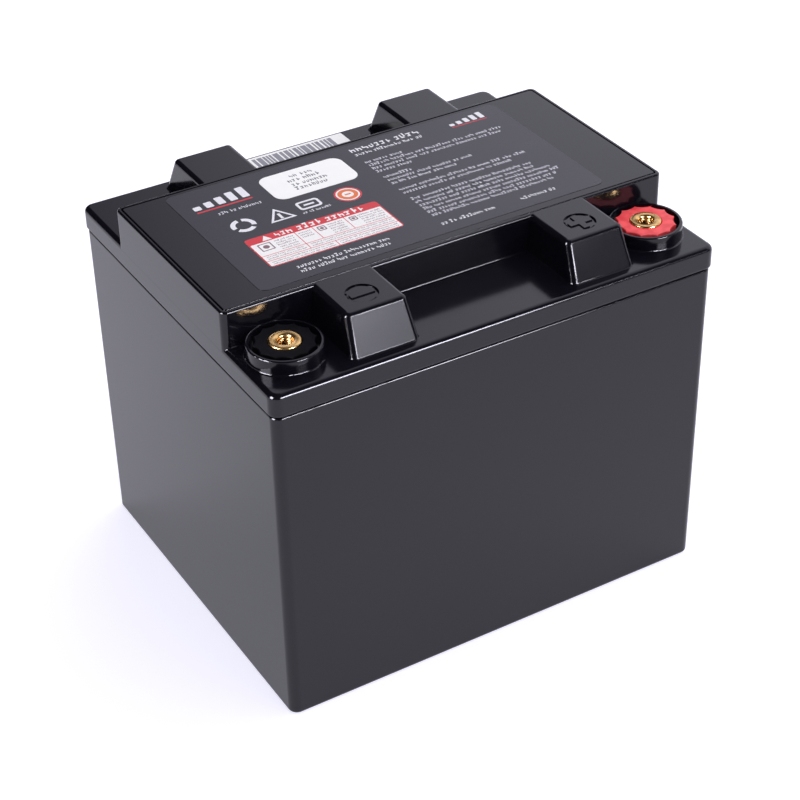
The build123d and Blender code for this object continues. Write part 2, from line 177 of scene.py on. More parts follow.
def remap(tree, value, low, high, to_low=0.0, to_high=1.0):
    """Value carried smoothly from one range to another, and held at its ends."""
    node = add_node(tree, "MapRange", Value=value, From_Min=low, From_Max=high, To_Min=to_low, To_Max=to_high)
    node.interpolation_type = "SMOOTHSTEP"
    return node.outputs[0]


def noise(tree, place, size, detail=2.0, stretch=(1.0, 1.0, 1.0)):
    """Noise whose features are about this many millimetres across."""
    scaled = add_operation(tree, "VectorMath", "MULTIPLY", place, stretch)
    texture = add_node(tree, "TexNoise", Vector=scaled.outputs[0], Scale=1.0 / (size * MM), Detail=detail)
    return texture.outputs[0]


def mix_colour(tree, amount, first, second):
    """Colour between two colours."""
    node = add_node(tree, "Mix")
    node.data_type = "RGBA"
    feed(tree, node.inputs[0], amount)
    colours = [socket for socket in node.inputs if socket.type == "RGBA"]
    for socket, value in zip(colours, (first, second)):
        feed(tree, socket, value)
    return next(socket for socket in node.outputs if socket.type == "RGBA")


def scaled_colour(colour, share):
    """Colour made darker, or paler with a share over 1."""
    return tuple(share * part for part in colour)


def start_material(name):
    """Empty material, its node tree and a socket with the place on the battery, in metres."""
    material = bpy.data.materials.new(name)
    material.use_nodes = True
    tree = material.node_tree
    tree.nodes.clear()
    return material, tree, add_node(tree, "TexCoord").outputs["Object"]


def finish_material(tree, colour, roughness, height, depth, metallic=0.0, ior=1.5, glow=0.0):
    """Shader from a colour, a roughness and a surface height with its depth in millimetres."""
    bump = add_node(tree, "Bump", Strength=1.0, Distance=depth * MM, Height=height)
    shader = add_node(tree, "BsdfPrincipled", Base_Color=colour, Roughness=roughness, Normal=bump.outputs[0],
                      Metallic=metallic, IOR=ior, Emission_Color=LIGHT_TINT, Emission_Strength=glow)
    add_node(tree, "OutputMaterial", Surface=shader.outputs[0])


def edge_rub(tree, place, high):
    """Mask of the upright corners of a box, where handling rubs them."""
    axes = add_node(tree, "SeparateXYZ", Vector=place)
    reach = WORN_REACH * MM
    side_x = remap(tree, calculate(tree, "ABSOLUTE", axes.outputs["X"]), high.x - reach, high.x)
    side_y = remap(tree, calculate(tree, "ABSOLUTE", axes.outputs["Y"]), high.y - reach, high.y)
    corner = calculate(tree, "MULTIPLY", side_x, side_y)
    patches = remap(tree, noise(tree, place, size=2.5, detail=4.0), 0.42, 0.62)
    return calculate(tree, "MULTIPLY", corner, patches)


def moulded_plastic(name, high, rubbed):
    """Black moulded plastic: fine grain, clouding, hairline scuffs and, where rubbed is 1, worn corners."""
    material, tree, place = start_material(name)
    cloud = noise(tree, place, size=45.0, detail=3.0)
    grain = noise(tree, place, size=0.45, detail=3.0)
    hairlines = noise(tree, place, size=1.6, detail=4.0, stretch=(0.12, 0.12, 1.0))
    patches = remap(tree, noise(tree, place, size=30.0), 0.45, 0.7)
    scuffs = calculate(tree, "MULTIPLY", remap(tree, hairlines, 0.66, 0.78), patches)
    rub = calculate(tree, "MULTIPLY", edge_rub(tree, place, high), rubbed)
    colour = mix_colour(tree, cloud, *PLASTIC_COLOURS)
    colour = mix_colour(tree, calculate(tree, "MULTIPLY", rub, WORN_SHARE), colour, WORN_COLOUR)
    roughness = remap(tree, cloud, 0.2, 0.8, *PLASTIC_ROUGHNESS)
    roughness = calculate(tree, "ADD", roughness, calculate(tree, "MULTIPLY", scuffs, SCUFF_ROUGHNESS))
    roughness = calculate(tree, "ADD", roughness, calculate(tree, "MULTIPLY", rub, WORN_ROUGHNESS))
    finish_material(tree, colour, roughness, grain, depth=0.0012, ior=PLASTIC_IOR)
    return material


def label_film(name):
    """Dark printed film: slight orange peel and a soft sheen."""
    material, tree, place = start_material(name)
    peel = noise(tree, place, size=0.9)
    cloud = noise(tree, place, size=25.0, detail=3.0)
    colour = mix_colour(tree, cloud, *FILM_COLOURS)
    roughness = remap(tree, cloud, 0.2, 0.8, *FILM_ROUGHNESS)
    finish_material(tree, colour, roughness, peel, depth=0.004, ior=PLASTIC_IOR)
    return material


def coated_paper(name):
    """White sticker paper with faint fibres."""
    material, tree, place = start_material(name)
    fibres = noise(tree, place, size=0.35, detail=4.0, stretch=(1.0, 0.4, 1.0))
    darker = scaled_colour(PAPER_COLOUR, 0.95)
    colour = mix_colour(tree, noise(tree, place, size=6.0, detail=3.0), darker, PAPER_COLOUR)
    roughness = remap(tree, fibres, 0.3, 0.7, 0.45, 0.6)
    finish_material(tree, colour, roughness, fibres, depth=0.004)
    return material


def ink(name, shade):
    """Printing ink: thin spots in the colour and a dull surface."""
    material, tree, place = start_material(name)
    spots = noise(tree, place, size=0.25)
    thin = scaled_colour(shade, 0.86)
    colour = mix_colour(tree, remap(tree, spots, 0.3, 0.7), thin, shade)
    roughness = remap(tree, spots, 0.3, 0.7, 0.42, 0.55)
    finish_material(tree, colour, roughness, spots, depth=0.002)
    return material


def turned_brass(name):
    """Brass with turning marks around each terminal's axis and a little tarnish."""
    material, tree, place = start_material(name)
    axes = add_node(tree, "SeparateXYZ", Vector=place)
    axis = terminal_axis(1)
    across = calculate(tree, "SUBTRACT", calculate(tree, "ABSOLUTE", axes.outputs["X"]), axis.x)
    along = calculate(tree, "SUBTRACT", axes.outputs["Y"], axis.y)
    across_squared = calculate(tree, "POWER", across, 2.0)
    along_squared = calculate(tree, "POWER", along, 2.0)
    radius = calculate(tree, "SQRT", calculate(tree, "ADD", across_squared, along_squared))
    rings = calculate(tree, "SINE", calculate(tree, "MULTIPLY", radius, 2 * math.pi / (TURNING_PITCH * MM)))
    tarnish = noise(tree, place, size=3.0, detail=4.0)
    colour = mix_colour(tree, remap(tree, tarnish, 0.42, 0.7), *BRASS_COLOURS)
    roughness = remap(tree, tarnish, 0.3, 0.7, 0.18, 0.30)
    finish_material(tree, colour, roughness, rings, depth=0.0012, metallic=1.0)
    return material


def cast_epoxy(name, shade, deep, ior):
    """Cast resin: small pits, colour a little deeper in places."""
    material, tree, place = start_material(name)
    pits = add_node(tree, "TexVoronoi", Vector=place, Scale=1.0 / (1.3 * MM)).outputs["Distance"]
    pits = remap(tree, pits, 0.0, 0.2)
    cloud = noise(tree, place, size=4.0, detail=3.0)
    colour = mix_colour(tree, remap(tree, cloud, 0.35, 0.65), deep, shade)
    roughness = remap(tree, cloud, 0.3, 0.7, 0.38, 0.5)
    finish_material(tree, colour, roughness, pits, depth=0.02, ior=ior)
    return material


def moulded_rubber(name, shade):
    """Dull moulded rubber with a fine bloom."""
    material, tree, place = start_material(name)
    bloom = noise(tree, place, size=5.0, detail=4.0)
    paler = scaled_colour(shade, 1.6)
    colour = mix_colour(tree, remap(tree, bloom, 0.4, 0.7), shade, paler)
    roughness = remap(tree, bloom, 0.3, 0.7, 0.62, 0.78)
    finish_material(tree, colour, roughness, noise(tree, place, size=0.3), depth=0.006)
    return material


def glass_mat(name):
    """Absorbent mat of fine white glass fibres."""
    material, tree, place = start_material(name)
    fibres = noise(tree, place, size=0.5, detail=6.0, stretch=(1.0, 0.25, 1.0))
    colour = mix_colour(tree, fibres, *MAT_COLOURS)
    roughness = remap(tree, fibres, 0.3, 0.7, 0.86, 0.97)
    finish_material(tree, colour, roughness, fibres, depth=0.05)
    return material


def pasted_plate(name, paste, grid):
    """Active paste pressed into a lead grid, whose wires show through as a faint lattice."""
    material, tree, place = start_material(name)
    axes = add_node(tree, "SeparateXYZ", Vector=place)
    wires = []
    for along, pitch in zip((axes.outputs["Y"], axes.outputs["Z"]), GRID_PITCHES):
        wave = calculate(tree, "SINE", calculate(tree, "MULTIPLY", along, math.pi / (pitch * MM)))
        wires.append(remap(tree, calculate(tree, "ABSOLUTE", wave), 0.25, 0.08))
    lattice = calculate(tree, "MAXIMUM", *wires)
    paste_grain = noise(tree, place, size=0.8, detail=5.0)
    darker = scaled_colour(paste, 0.72)
    colour = mix_colour(tree, paste_grain, darker, paste)
    colour = mix_colour(tree, calculate(tree, "MULTIPLY", lattice, 0.6), colour, grid)
    roughness = remap(tree, paste_grain, 0.3, 0.7, 0.74, 0.92)
    height = calculate(tree, "ADD", calculate(tree, "MULTIPLY", paste_grain, 0.4), lattice)
    finish_material(tree, colour, roughness, height, depth=0.08)
    return material


def cast_lead(name):
    """Cast lead: dull grey with a bluish oxide and shrinkage ripples."""
    material, tree, place = start_material(name)
    oxide = noise(tree, place, size=7.0, detail=5.0)
    ripples = noise(tree, place, size=1.5, detail=3.0)
    colour = mix_colour(tree, remap(tree, oxide, 0.35, 0.65), *LEAD_COLOURS)
    roughness = remap(tree, oxide, 0.3, 0.7, 0.42, 0.62)
    finish_material(tree, colour, roughness, ripples, depth=0.03, metallic=0.85)
    return material


def studio_floor(name):
    """Pale matt table under the battery, lit from below. It is paler in plain view than in reflections."""
    material, tree, place = start_material(name)
    mottle = noise(tree, place, size=60.0, detail=3.0)
    darker = scaled_colour(FLOOR_COLOUR, 0.99)
    colour = mix_colour(tree, mottle, darker, FLOOR_COLOUR)
    roughness = remap(tree, mottle, 0.3, 0.7, 0.85, 0.95)
    seen = add_node(tree, "LightPath").outputs["Is Camera Ray"]
    glow = calculate(tree, "ADD", calculate(tree, "MULTIPLY", seen, FLOOR_SEEN), FLOOR_GLOW)
    finish_material(tree, colour, roughness, mottle, depth=0.01, ior=1.2, glow=glow)
    return material


# ---------------------------------------------------------------- studio

def direction(azimuth, elevation):
    """Unit vector towards an azimuth, in degrees from -Y towards +X, and an elevation."""
    turn, rise = math.radians(azimuth), math.radians(elevation)
    return Vector((math.sin(turn) * math.cos(rise), -math.cos(turn) * math.cos(rise), math.sin(rise)))


def look_along(forward, roll=0.0):
    """Rotation of a camera or a light that looks along this vector, turned about it by roll degrees."""
    right = forward.cross(Vector((0, 0, 1))).normalized()
    up = right.cross(forward)
    turn = math.radians(roll)
    turned_right = math.cos(turn) * right + math.sin(turn) * up
    turned_up = math.cos(turn) * up - math.sin(turn) * right
    return Matrix((turned_right, turned_up, -forward)).transposed().to_4x4()


def add_camera(middle):
    """Camera at the viewing angle that the object was studied from."""
    data = bpy.data.cameras.new("camera")
    data.lens = CAMERA_LENS
    data.sensor_width = CAMERA_SENSOR
    back = direction(CAMERA_AZIMUTH, CAMERA_ELEVATION)
    camera = bpy.data.objects.new("camera", data)
    place = middle + CAMERA_AIM + CAMERA_DISTANCE * back
    camera.matrix_world = Matrix.Translation(place) @ look_along(-back, CAMERA_ROLL)
    bpy.context.scene.collection.objects.link(camera)
    bpy.context.scene.camera = camera


def add_softbox(name, middle, azimuth, elevation, width, height, radiance):
    """Softbox that shows only in reflections, given by the angles that it fills from the battery."""
    data = bpy.data.lights.new(name, "AREA")
    data.shape = "RECTANGLE"
    data.size = 2 * BOX_DISTANCE * math.tan(math.radians(width / 2))
    data.size_y = 2 * BOX_DISTANCE * math.tan(math.radians(height / 2))
    data.energy = radiance * math.pi * data.size * data.size_y
    data.color = LIGHT_TINT
    light = bpy.data.objects.new(name, data)
    towards = direction(azimuth, elevation)
    light.matrix_world = Matrix.Translation(middle + BOX_DISTANCE * towards) @ look_along(-towards)
    light.visible_diffuse = False
    bpy.context.scene.collection.objects.link(light)


def add_fill(name):
    """Broad light from above and to one side for the matt surfaces, kept out of the reflections."""
    data = bpy.data.lights.new(name, "SUN")
    data.energy = FILL_STRENGTH
    data.color = LIGHT_TINT
    data.angle = math.radians(FILL_ANGLE)
    light = bpy.data.objects.new(name, data)
    light.matrix_world = look_along(-direction(FILL_AZIMUTH, FILL_ELEVATION))
    light.visible_glossy = False
    bpy.context.scene.collection.objects.link(light)


def add_room():
    """Dim room with one wide pale backdrop, which the battery mirrors. In plain view it is pale all over."""
    world = bpy.data.worlds.new("room")
    world.use_nodes = True
    tree = world.node_tree
    tree.nodes.clear()
    ray = add_node(tree, "TexCoord").outputs["Generated"]
    towards = direction(BACKDROP_AZIMUTH, BACKDROP_ELEVATION)
    facing = add_operation(tree, "VectorMath", "DOT_PRODUCT", ray, towards)
    edge = math.cos(math.radians(BACKDROP_EDGE))
    core = math.cos(math.radians(BACKDROP_CORE))
    strength = remap(tree, facing.outputs["Value"], edge, core, ROOM_DARK, ROOM_BRIGHT)
    seen = add_node(tree, "LightPath").outputs["Is Camera Ray"]
    strength = calculate(tree, "MAXIMUM", strength, calculate(tree, "MULTIPLY", seen, BACKGROUND))
    background = add_node(tree, "Background", Color=LIGHT_TINT, Strength=strength)
    add_node(tree, "OutputWorld", Surface=background.outputs[0])
    bpy.context.scene.world = world


def add_floor(ground):
    """Large floor at the height that the battery stands on."""
    half = FLOOR_SIZE / 2
    corners = [(-half, -half, ground), (half, -half, ground), (half, half, ground), (-half, half, ground)]
    mesh = bpy.data.meshes.new("floor")
    mesh.from_pydata(corners, [], [(0, 1, 2, 3)])
    floor = bpy.data.objects.new("floor", mesh)
    floor.data.materials.append(studio_floor("studio_floor"))
    bpy.context.scene.collection.objects.link(floor)


# ---------------------------------------------------------------- outlines and prints

CORNER_STEPS = 6
CIRCLE_SIDES = 40
SECTOR_STEPS = 14


def rounded_outline(left, right, front, back, corner):
    """Corners of a rounded rectangle, anticlockwise, in millimetres."""
    points = []
    middles = ((right - corner, front + corner), (right - corner, back - corner),
               (left + corner, back - corner), (left + corner, front + corner))
    for quarter, (x, y) in enumerate(middles):
        for step in range(CORNER_STEPS + 1):
            angle = math.radians(90 * (quarter - 1) + 90 * step / CORNER_STEPS)
            points.append((x + corner * math.cos(angle), y + corner * math.sin(angle)))
    return points


def box_outline(left, right, front, back):
    """Corners of a plain rectangle, anticlockwise."""
    return [(left, front), (right, front), (right, back), (left, back)]


def centred_box(x, y, half_width, half_height):
    """Corners of a plain rectangle round a point."""
    return box_outline(x - half_width, x + half_width, y - half_height, y + half_height)


def circle_outline(x, y, radius, sides=CIRCLE_SIDES, start=0.0):
    """Corners of a regular polygon or, with many sides, of a circle. Its first corner is at start degrees."""
    angles = [math.radians(start + 360 * step / sides) for step in range(sides)]
    return [(x + radius * math.cos(angle), y + radius * math.sin(angle)) for angle in angles]


def sector_outline(x, y, outer, inner, start, end):
    """Corners of a piece of a ring between two angles, in degrees."""
    angles = [math.radians(start + (end - start) * step / SECTOR_STEPS) for step in range(SECTOR_STEPS + 1)]
    out = [(x + outer * math.cos(angle), y + outer * math.sin(angle)) for angle in angles]
    back = [(x + inner * math.cos(angle), y + inner * math.sin(angle)) for angle in reversed(angles)]
    return out + back


def grown(outline, x, y, share):
    """Outline scaled about a point."""
    return [(x + share * (px - x), y + share * (py - y)) for px, py in outline]


class Print:
    """One colour of print: flat closed shapes on a surface, in millimetres of that surface's own frame."""

    def __init__(self, origin):
        self.mesh = bmesh.new()
        self.origin = origin

    def ring_of(self, outline, height):
        """Vertices of an outline at a height above the surface."""
        vertices = []
        for x, y in outline:
            vertices.append(self.mesh.verts.new(self.origin + MM * Vector((x, y, height))))
        return vertices

    def shape(self, outline, bottom=0.0, top=INK):
        """Filled shape with straight sides."""
        lower = self.ring_of(outline, bottom)
        upper = self.ring_of(outline, top)
        self.mesh.faces.new(upper)
        self.mesh.faces.new(list(reversed(lower)))
        self.walls(lower, upper)

    def band(self, outer, inner, bottom=0.0, top=INK):
        """Shape between two outlines with as many corners as each other."""
        outer_low, outer_high = self.ring_of(outer, bottom), self.ring_of(outer, top)
        inner_low, inner_high = self.ring_of(inner, bottom), self.ring_of(inner, top)
        self.walls(outer_low, outer_high)
        self.walls(inner_high, inner_low)
        self.walls(outer_high, inner_high)
        self.walls(inner_low, outer_low)

    def walls(self, lower, upper):
        """Faces between two closed rows of vertices."""
        count = len(lower)
        for this in range(count):
            following = (this + 1) % count
            self.mesh.faces.new((lower[this], lower[following], upper[following], upper[this]))

    def piece(self, name, material, slot):
        """The finished print as an object that rides with the battery."""
        return finish_piece(self.mesh, name, material)


def finish_piece(mesh, name, material, smooth=False):
    """Object from a bmesh, with its material, on the battery's body."""
    bmesh.ops.recalc_face_normals(mesh, faces=mesh.faces)
    data = bpy.data.meshes.new(name)
    mesh.to_mesh(data)
    mesh.free()
    data.materials.append(material)
    for polygon in data.polygons:
        polygon.use_smooth = smooth
    piece = bpy.data.objects.new(name, data)
    bpy.context.scene.collection.objects.link(piece)
    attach(piece, "battery")
    return piece


# ---------------------------------------------------------------- placeholder text

# Sizes in parts of the letter height
LETTER_WIDTH = (0.6, 0.85)
LETTER_GAP = 0.27
WORD_GAP = 0.6
WORD_LETTERS = (2, 9)
TALL_SHARE = 0.25
TALL_LETTER = 1.4

# Strokes of each letter, as left, right, bottom and top in parts of the letter
LETTER_FORMS = (
    ((0.0, 0.30, 0.0, 1.0), (0.70, 1.0, 0.0, 0.50), (0.30, 1.0, 0.50, 0.76)),
    ((0.0, 1.0, 0.74, 1.0), (0.35, 0.65, 0.26, 0.74), (0.0, 0.65, 0.0, 0.26)),
    ((0.0, 0.30, 0.0, 0.8), (0.30, 0.70, 0.0, 0.26), (0.70, 1.0, 0.26, 1.0)),
    ((0.0, 1.0, 0.38, 0.64), (0.0, 0.30, 0.64, 1.0), (0.70, 1.0, 0.0, 0.38)),
    ((0.25, 0.58, 0.0, 1.0), (0.58, 1.0, 0.26, 0.54)),
    ((0.0, 0.82, 0.0, 0.26), (0.52, 0.82, 0.26, 0.74), (0.1, 1.0, 0.74, 1.0)),
)


def text_line(target, rng, left, right, middle, height, layer=ON_FILM):
    """Line of placeholder text: words of plain strokes, which spell nothing."""
    x = left
    letters_left = rng.randint(*WORD_LETTERS)
    while True:
        width = height * rng.uniform(*LETTER_WIDTH)
        if x + width > right:
            break
        base = middle - height / 2
        reach = height * (TALL_LETTER if rng.random() < TALL_SHARE else 1.0)
        for stroke_left, stroke_right, stroke_bottom, stroke_top in rng.choice(LETTER_FORMS):
            outline = box_outline(x + width * stroke_left, x + width * stroke_right,
                                  base + reach * stroke_bottom, base + reach * stroke_top)
            target.shape(outline, *layer)
        x += width + height * LETTER_GAP
        letters_left -= 1
        if letters_left == 0:
            x += height * WORD_GAP
            letters_left = rng.randint(*WORD_LETTERS)


def text_rows(target, rng, left, right, first, pitch, count, height, layer):
    """Rows of placeholder text of the same length, from the first row's middle forwards."""
    for row in range(count):
        text_line(target, rng, left, right, first - pitch * row, height, layer)


# ---------------------------------------------------------------- top label

# Places on the top label are in millimetres from its left and front edges.
# Each line of text is its left end, right end, middle and letter height.
COLUMN = 83.0
LINE_PITCH = 3.1
TEXT_HEIGHT = 1.45
HEADING_LINES = ((82.6, 116.5, 78.2, 2.9), (82.6, 116.0, 73.9, 1.6))
FOOT_LINES = ((82.6, 107.6, 6.7, 1.6), (119.6, 137.1, 6.7, 1.6))
MAKER_LINES = ((19.6, 60.6, 8.3, 1.6), (19.6, 60.0, 4.9, 1.6))
EMBLEM_LINE = (13.0, 33.0, 60.4, 1.5)
MARK_LINE = (41.4, 54.8, 43.2, 1.2)

# Blocks of small text: the middle of the first line, and the length of each line
TEXT_BLOCKS = (
    (66.4, (18.0, 65.5, 63.0, 18.0)),
    (51.5, (13.5, 40.5, 31.5)),
    (39.2, (60.5, 52.0)),
    (30.0, (58.0, 56.5, 62.0, 64.5, 61.5, 58.0)),
)

# Emblems: the left end and foot of the bars, the width of the row and the height of the last bar.
# Bar heights and the underline are in parts of that height, bar widths and corners in parts of the pitch.
EMBLEMS = ((6.2, 67.4, 26.5, 8.6), (129.5, 74.6, 18.5, 5.4))
EMBLEM_BARS = 5
SHORTEST_BAR = 0.35
BAR_SHARE = 0.62
BAR_CORNER = 0.1
UNDERLINE = (-0.27, -0.16)

# Middles of the four marks
RING_MARK = (17.3, 47.5)
TRIANGLE_MARK = (32.9, 46.2)
FRAME_MARK = (46.9, 48.7)
ROUNDEL_MARK = (63.8, 47.2)


def text_column(bright, grey, rng):
    """Right half of the label: a heading, four blocks of small text and a last line."""
    for line in HEADING_LINES:
        text_line(bright, rng, *line)
    for first, lengths in TEXT_BLOCKS:
        for row, length in enumerate(lengths):
            text_line(grey, rng, COLUMN, COLUMN + length, first - row * LINE_PITCH, TEXT_HEIGHT)
    for line in FOOT_LINES:
        text_line(bright, rng, *line)


def bar_emblem(bright, red, left, foot, width, height):
    """Plain emblem: bars that rise to the right, over a red underline."""
    pitch = width / EMBLEM_BARS
    for bar in range(EMBLEM_BARS):
        x = left + bar * pitch
        share = SHORTEST_BAR + (1 - SHORTEST_BAR) * bar / (EMBLEM_BARS - 1)
        corner = BAR_CORNER * pitch
        bright.shape(rounded_outline(x, x + BAR_SHARE * pitch, foot, foot + share * height, corner))
    right = left + width - (1 - BAR_SHARE) * pitch
    front, back = (foot + share * height for share in UNDERLINE)
    red.shape(box_outline(left, right, front, back))


def ring_mark(bright, x, y):
    """Three pieces of a ring."""
    outer, inner, span = 5.2, 3.2, 96
    for start in (100, 220, 340):
        bright.shape(sector_outline(x, y, outer, inner, start, start + span))


def triangle_mark(bright, x, y):
    """Open triangle round an upright bar."""
    radius, opening_share = 6.6, 0.72
    triangle = circle_outline(x, y, radius, sides=3, start=90)
    bright.band(triangle, grown(triangle, x, y, opening_share))
    bright.shape(box_outline(x - 0.6, x + 0.6, y - 2.0, y + 2.2))


def frame_mark(bright, x, y):
    """Rounded frame round a level bar."""
    outlines = []
    for half_width, half_height, corner in ((5.0, 3.3, 1.6), (3.9, 2.2, 0.8)):
        left, right, front, back = x - half_width, x + half_width, y - half_height, y + half_height
        outlines.append(rounded_outline(left, right, front, back, corner))
    bright.band(*outlines)
    bright.shape(centred_box(x, y, 2.3, 0.6))


def roundel_mark(panel, red, orange, x, y):
    """White disc with a red rim, an orange ring and a short bar."""
    disc_radius, rim_radius, ring_radius, hole_radius = 5.7, 4.9, 4.2, 2.4
    disc = circle_outline(x, y, disc_radius)
    panel.shape(disc)
    red.band(disc, circle_outline(x, y, rim_radius), *ON_INK)
    orange.band(circle_outline(x, y, ring_radius), circle_outline(x, y, hole_radius), *ON_INK)
    orange.shape(centred_box(x, y, 1.3, 0.5), *ON_INK)


# ---------------------------------------------------------------- notice panel on the top label

PANEL_LEFT = 11.4
PANEL_RIGHT = 70.1
PANEL_FRONT = 13.5
PANEL_BACK = 36.6
PANEL_CORNER = 1.6
PANEL_BORDER = 0.55
BORDER_CORNER = 0.5
HEADING_FRONT = 31.8
HEADING_LINE = (24.0, 64.0, 34.2, 2.7)
HEADING_TRIANGLE = {"x": 19.8, "half": 2.0, "foot": HEADING_FRONT + 0.7, "tip": PANEL_BACK - 0.6}
RULE_HALF = 0.15

# Rules: the two level ones, and the upright ones as place, front end and back end
LEVEL_RULES = (22.0, 17.9)
UPRIGHT_RULES = (
    (31.1, LEVEL_RULES[1] + RULE_HALF, HEADING_FRONT),
    (38.8, LEVEL_RULES[0] + RULE_HALF, HEADING_FRONT),
    (52.9, LEVEL_RULES[0] + RULE_HALF, HEADING_FRONT),
    (41.6, PANEL_FRONT + PANEL_BORDER, LEVEL_RULES[1] - RULE_HALF),
)

# Text in the upper cells, as left end, right end and number of lines. Below them come two rows of
# cells, each as the middle of its first line and the ends of the text in its cells.
CELL_TEXT = ((21.5, 29.8, 5), (32.2, 37.8, 3), (44.6, 51.6, 5), (58.4, 68.8, 5))
CELL_TEXT_FIRST = 30.2
CELL_TEXT_PITCH = 1.7
CELL_TEXT_HEIGHT = 0.75
LOWER_TEXT = ((20.7, ((13.4, 30.0), (32.4, 68.8))), (16.5, ((13.4, 40.4), (42.8, 68.8))))
LOWER_TEXT_COUNT = 2
LOWER_TEXT_PITCH = 1.5
LOWER_TEXT_HEIGHT = 0.65

# Plain boxes in the upper cells, as left edge and side
CELL_BOXES = ((14.2, 5.6), (40.2, 3.4), (54.4, 3.2))
CELL_BOX_BACK = 30.8
CELL_BOX_LINE = 0.5
CELL_BOX_CORNERS = (0.5, 0.3)
CELL_DOT_SHARE = 0.24
CELL_DOT_SIDES = 16


def panel_sheet(panel, red, rng):
    """White sheet of the notice with its red border and heading."""
    outline = rounded_outline(PANEL_LEFT, PANEL_RIGHT, PANEL_FRONT, PANEL_BACK, PANEL_CORNER)
    panel.shape(outline)
    opening = rounded_outline(PANEL_LEFT + PANEL_BORDER, PANEL_RIGHT - PANEL_BORDER,
                              PANEL_FRONT + PANEL_BORDER, HEADING_FRONT, BORDER_CORNER)
    red.band(outline, opening, *ON_INK)
    text_line(panel, rng, *HEADING_LINE, ON_OVERPRINT)
    heading_triangle(panel, **HEADING_TRIANGLE)


def heading_triangle(panel, x, half, foot, tip):
    """Plain triangle before the heading."""
    panel.shape([(x - half, foot), (x + half, foot), (x, tip)], *ON_OVERPRINT)


def panel_rules(red):
    """Red rules between the cells."""
    left, right = PANEL_LEFT + PANEL_BORDER, PANEL_RIGHT - PANEL_BORDER
    for y in LEVEL_RULES:
        red.shape(box_outline(left, right, y - RULE_HALF, y + RULE_HALF), *ON_INK)
    for x, front, back in UPRIGHT_RULES:
        red.shape(box_outline(x - RULE_HALF, x + RULE_HALF, front, back), *ON_INK)


def cell_box(dark, left, side):
    """Small frame round a dot."""
    back = CELL_BOX_BACK
    line = CELL_BOX_LINE
    outer_corner, inner_corner = CELL_BOX_CORNERS
    outer = rounded_outline(left, left + side, back - side, back, outer_corner)
    inner = rounded_outline(left + line, left + side - line, back - side + line, back - line, inner_corner)
    dark.band(outer, inner, *ON_INK)
    dot = circle_outline(left + side / 2, back - side / 2, CELL_DOT_SHARE * side, sides=CELL_DOT_SIDES)
    dark.shape(dot, *ON_INK)


def notice_panel(panel, red, dark, rng):
    """White notice with a red heading and ruled cells, filled with plain shapes and placeholder text."""
    panel_sheet(panel, red, rng)
    panel_rules(red)
    for left, right, count in CELL_TEXT:
        text_rows(dark, rng, left, right, CELL_TEXT_FIRST, CELL_TEXT_PITCH, count, CELL_TEXT_HEIGHT, ON_INK)
    for left, side in CELL_BOXES:
        cell_box(dark, left, side)
    for first, cells in LOWER_TEXT:
        for left, right in cells:
            text_rows(dark, rng, left, right, first, LOWER_TEXT_PITCH, LOWER_TEXT_COUNT,
                      LOWER_TEXT_HEIGHT, ON_INK)


def printed_label():
    """Everything printed on the dark film."""
    low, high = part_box("top_label")
    origin = Vector((low.x, low.y, high.z))
    rng = random.Random(SEED)
    bright, grey, red, orange, panel, dark = (Print(origin) for _ in range(6))
    for emblem in EMBLEMS:
        bar_emblem(bright, red, *emblem)
    text_line(grey, rng, *EMBLEM_LINE)
    text_column(bright, grey, rng)
    ring_mark(bright, *RING_MARK)
    triangle_mark(bright, *TRIANGLE_MARK)
    frame_mark(bright, *FRAME_MARK)
    text_line(bright, rng, *MARK_LINE)
    roundel_mark(panel, red, orange, *ROUNDEL_MARK)
    notice_panel(panel, red, dark, rng)
    for line in MAKER_LINES:
        text_line(bright, rng, *line)
    bright.piece("print_bright", ink("ink_bright", BRIGHT_INK), "label_film")
    grey.piece("print_grey", ink("ink_grey", GREY_INK), "label_film")
    red.piece("print_red", ink("ink_red", RED_INK), "label_film")
    orange.piece("print_orange", ink("ink_orange", ORANGE_INK), "label_film")
    panel.piece("print_panel", ink("ink_white", PANEL_INK), "label_film")
    dark.piece("print_dark", ink("ink_panel_text", PANEL_TEXT_INK), "label_film")


# ---------------------------------------------------------------- stickers

# Rating sticker: its corner, and its lines of text as left and right end, from the back forwards
RATING_CORNER = 4.5
RATING_LINES = ((13.0, 24.0), (10.5, 26.5), (10.5, 27.0), (10.5, 27.0))
RATING_FIRST = 4.9
RATING_PITCH = 3.5
RATING_HEIGHT = 1.9

# Bar sticker
BAR_WIDTH = (0.8, 2.6)
BAR_GAP = (0.4, 0.9)
BAR_MARGIN = 1.5
PLAIN_END = 5.0


def rating_sticker(paper):
    """White sticker on the film with four lines of placeholder text."""
    low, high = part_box("rating_label")
    width, depth = (high.x - low.x) / MM, (high.y - low.y) / MM
    sheet = Print(low)
    sheet.shape(rounded_outline(0, width, 0, depth, RATING_CORNER), 0.0, STICKER_SHEET)
    piece = sheet.piece("rating_sheet", paper, "label_paper")
    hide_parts("rating_label")
    rng = random.Random(SEED + 1)
    text = Print(low)
    for row, (left, right) in enumerate(RATING_LINES):
        middle = depth - RATING_FIRST - RATING_PITCH * row
        text_line(text, rng, left, right, middle, RATING_HEIGHT, ON_STICKER)
    text.piece("rating_text", ink("ink_rating", RATING_INK), "label_paper")


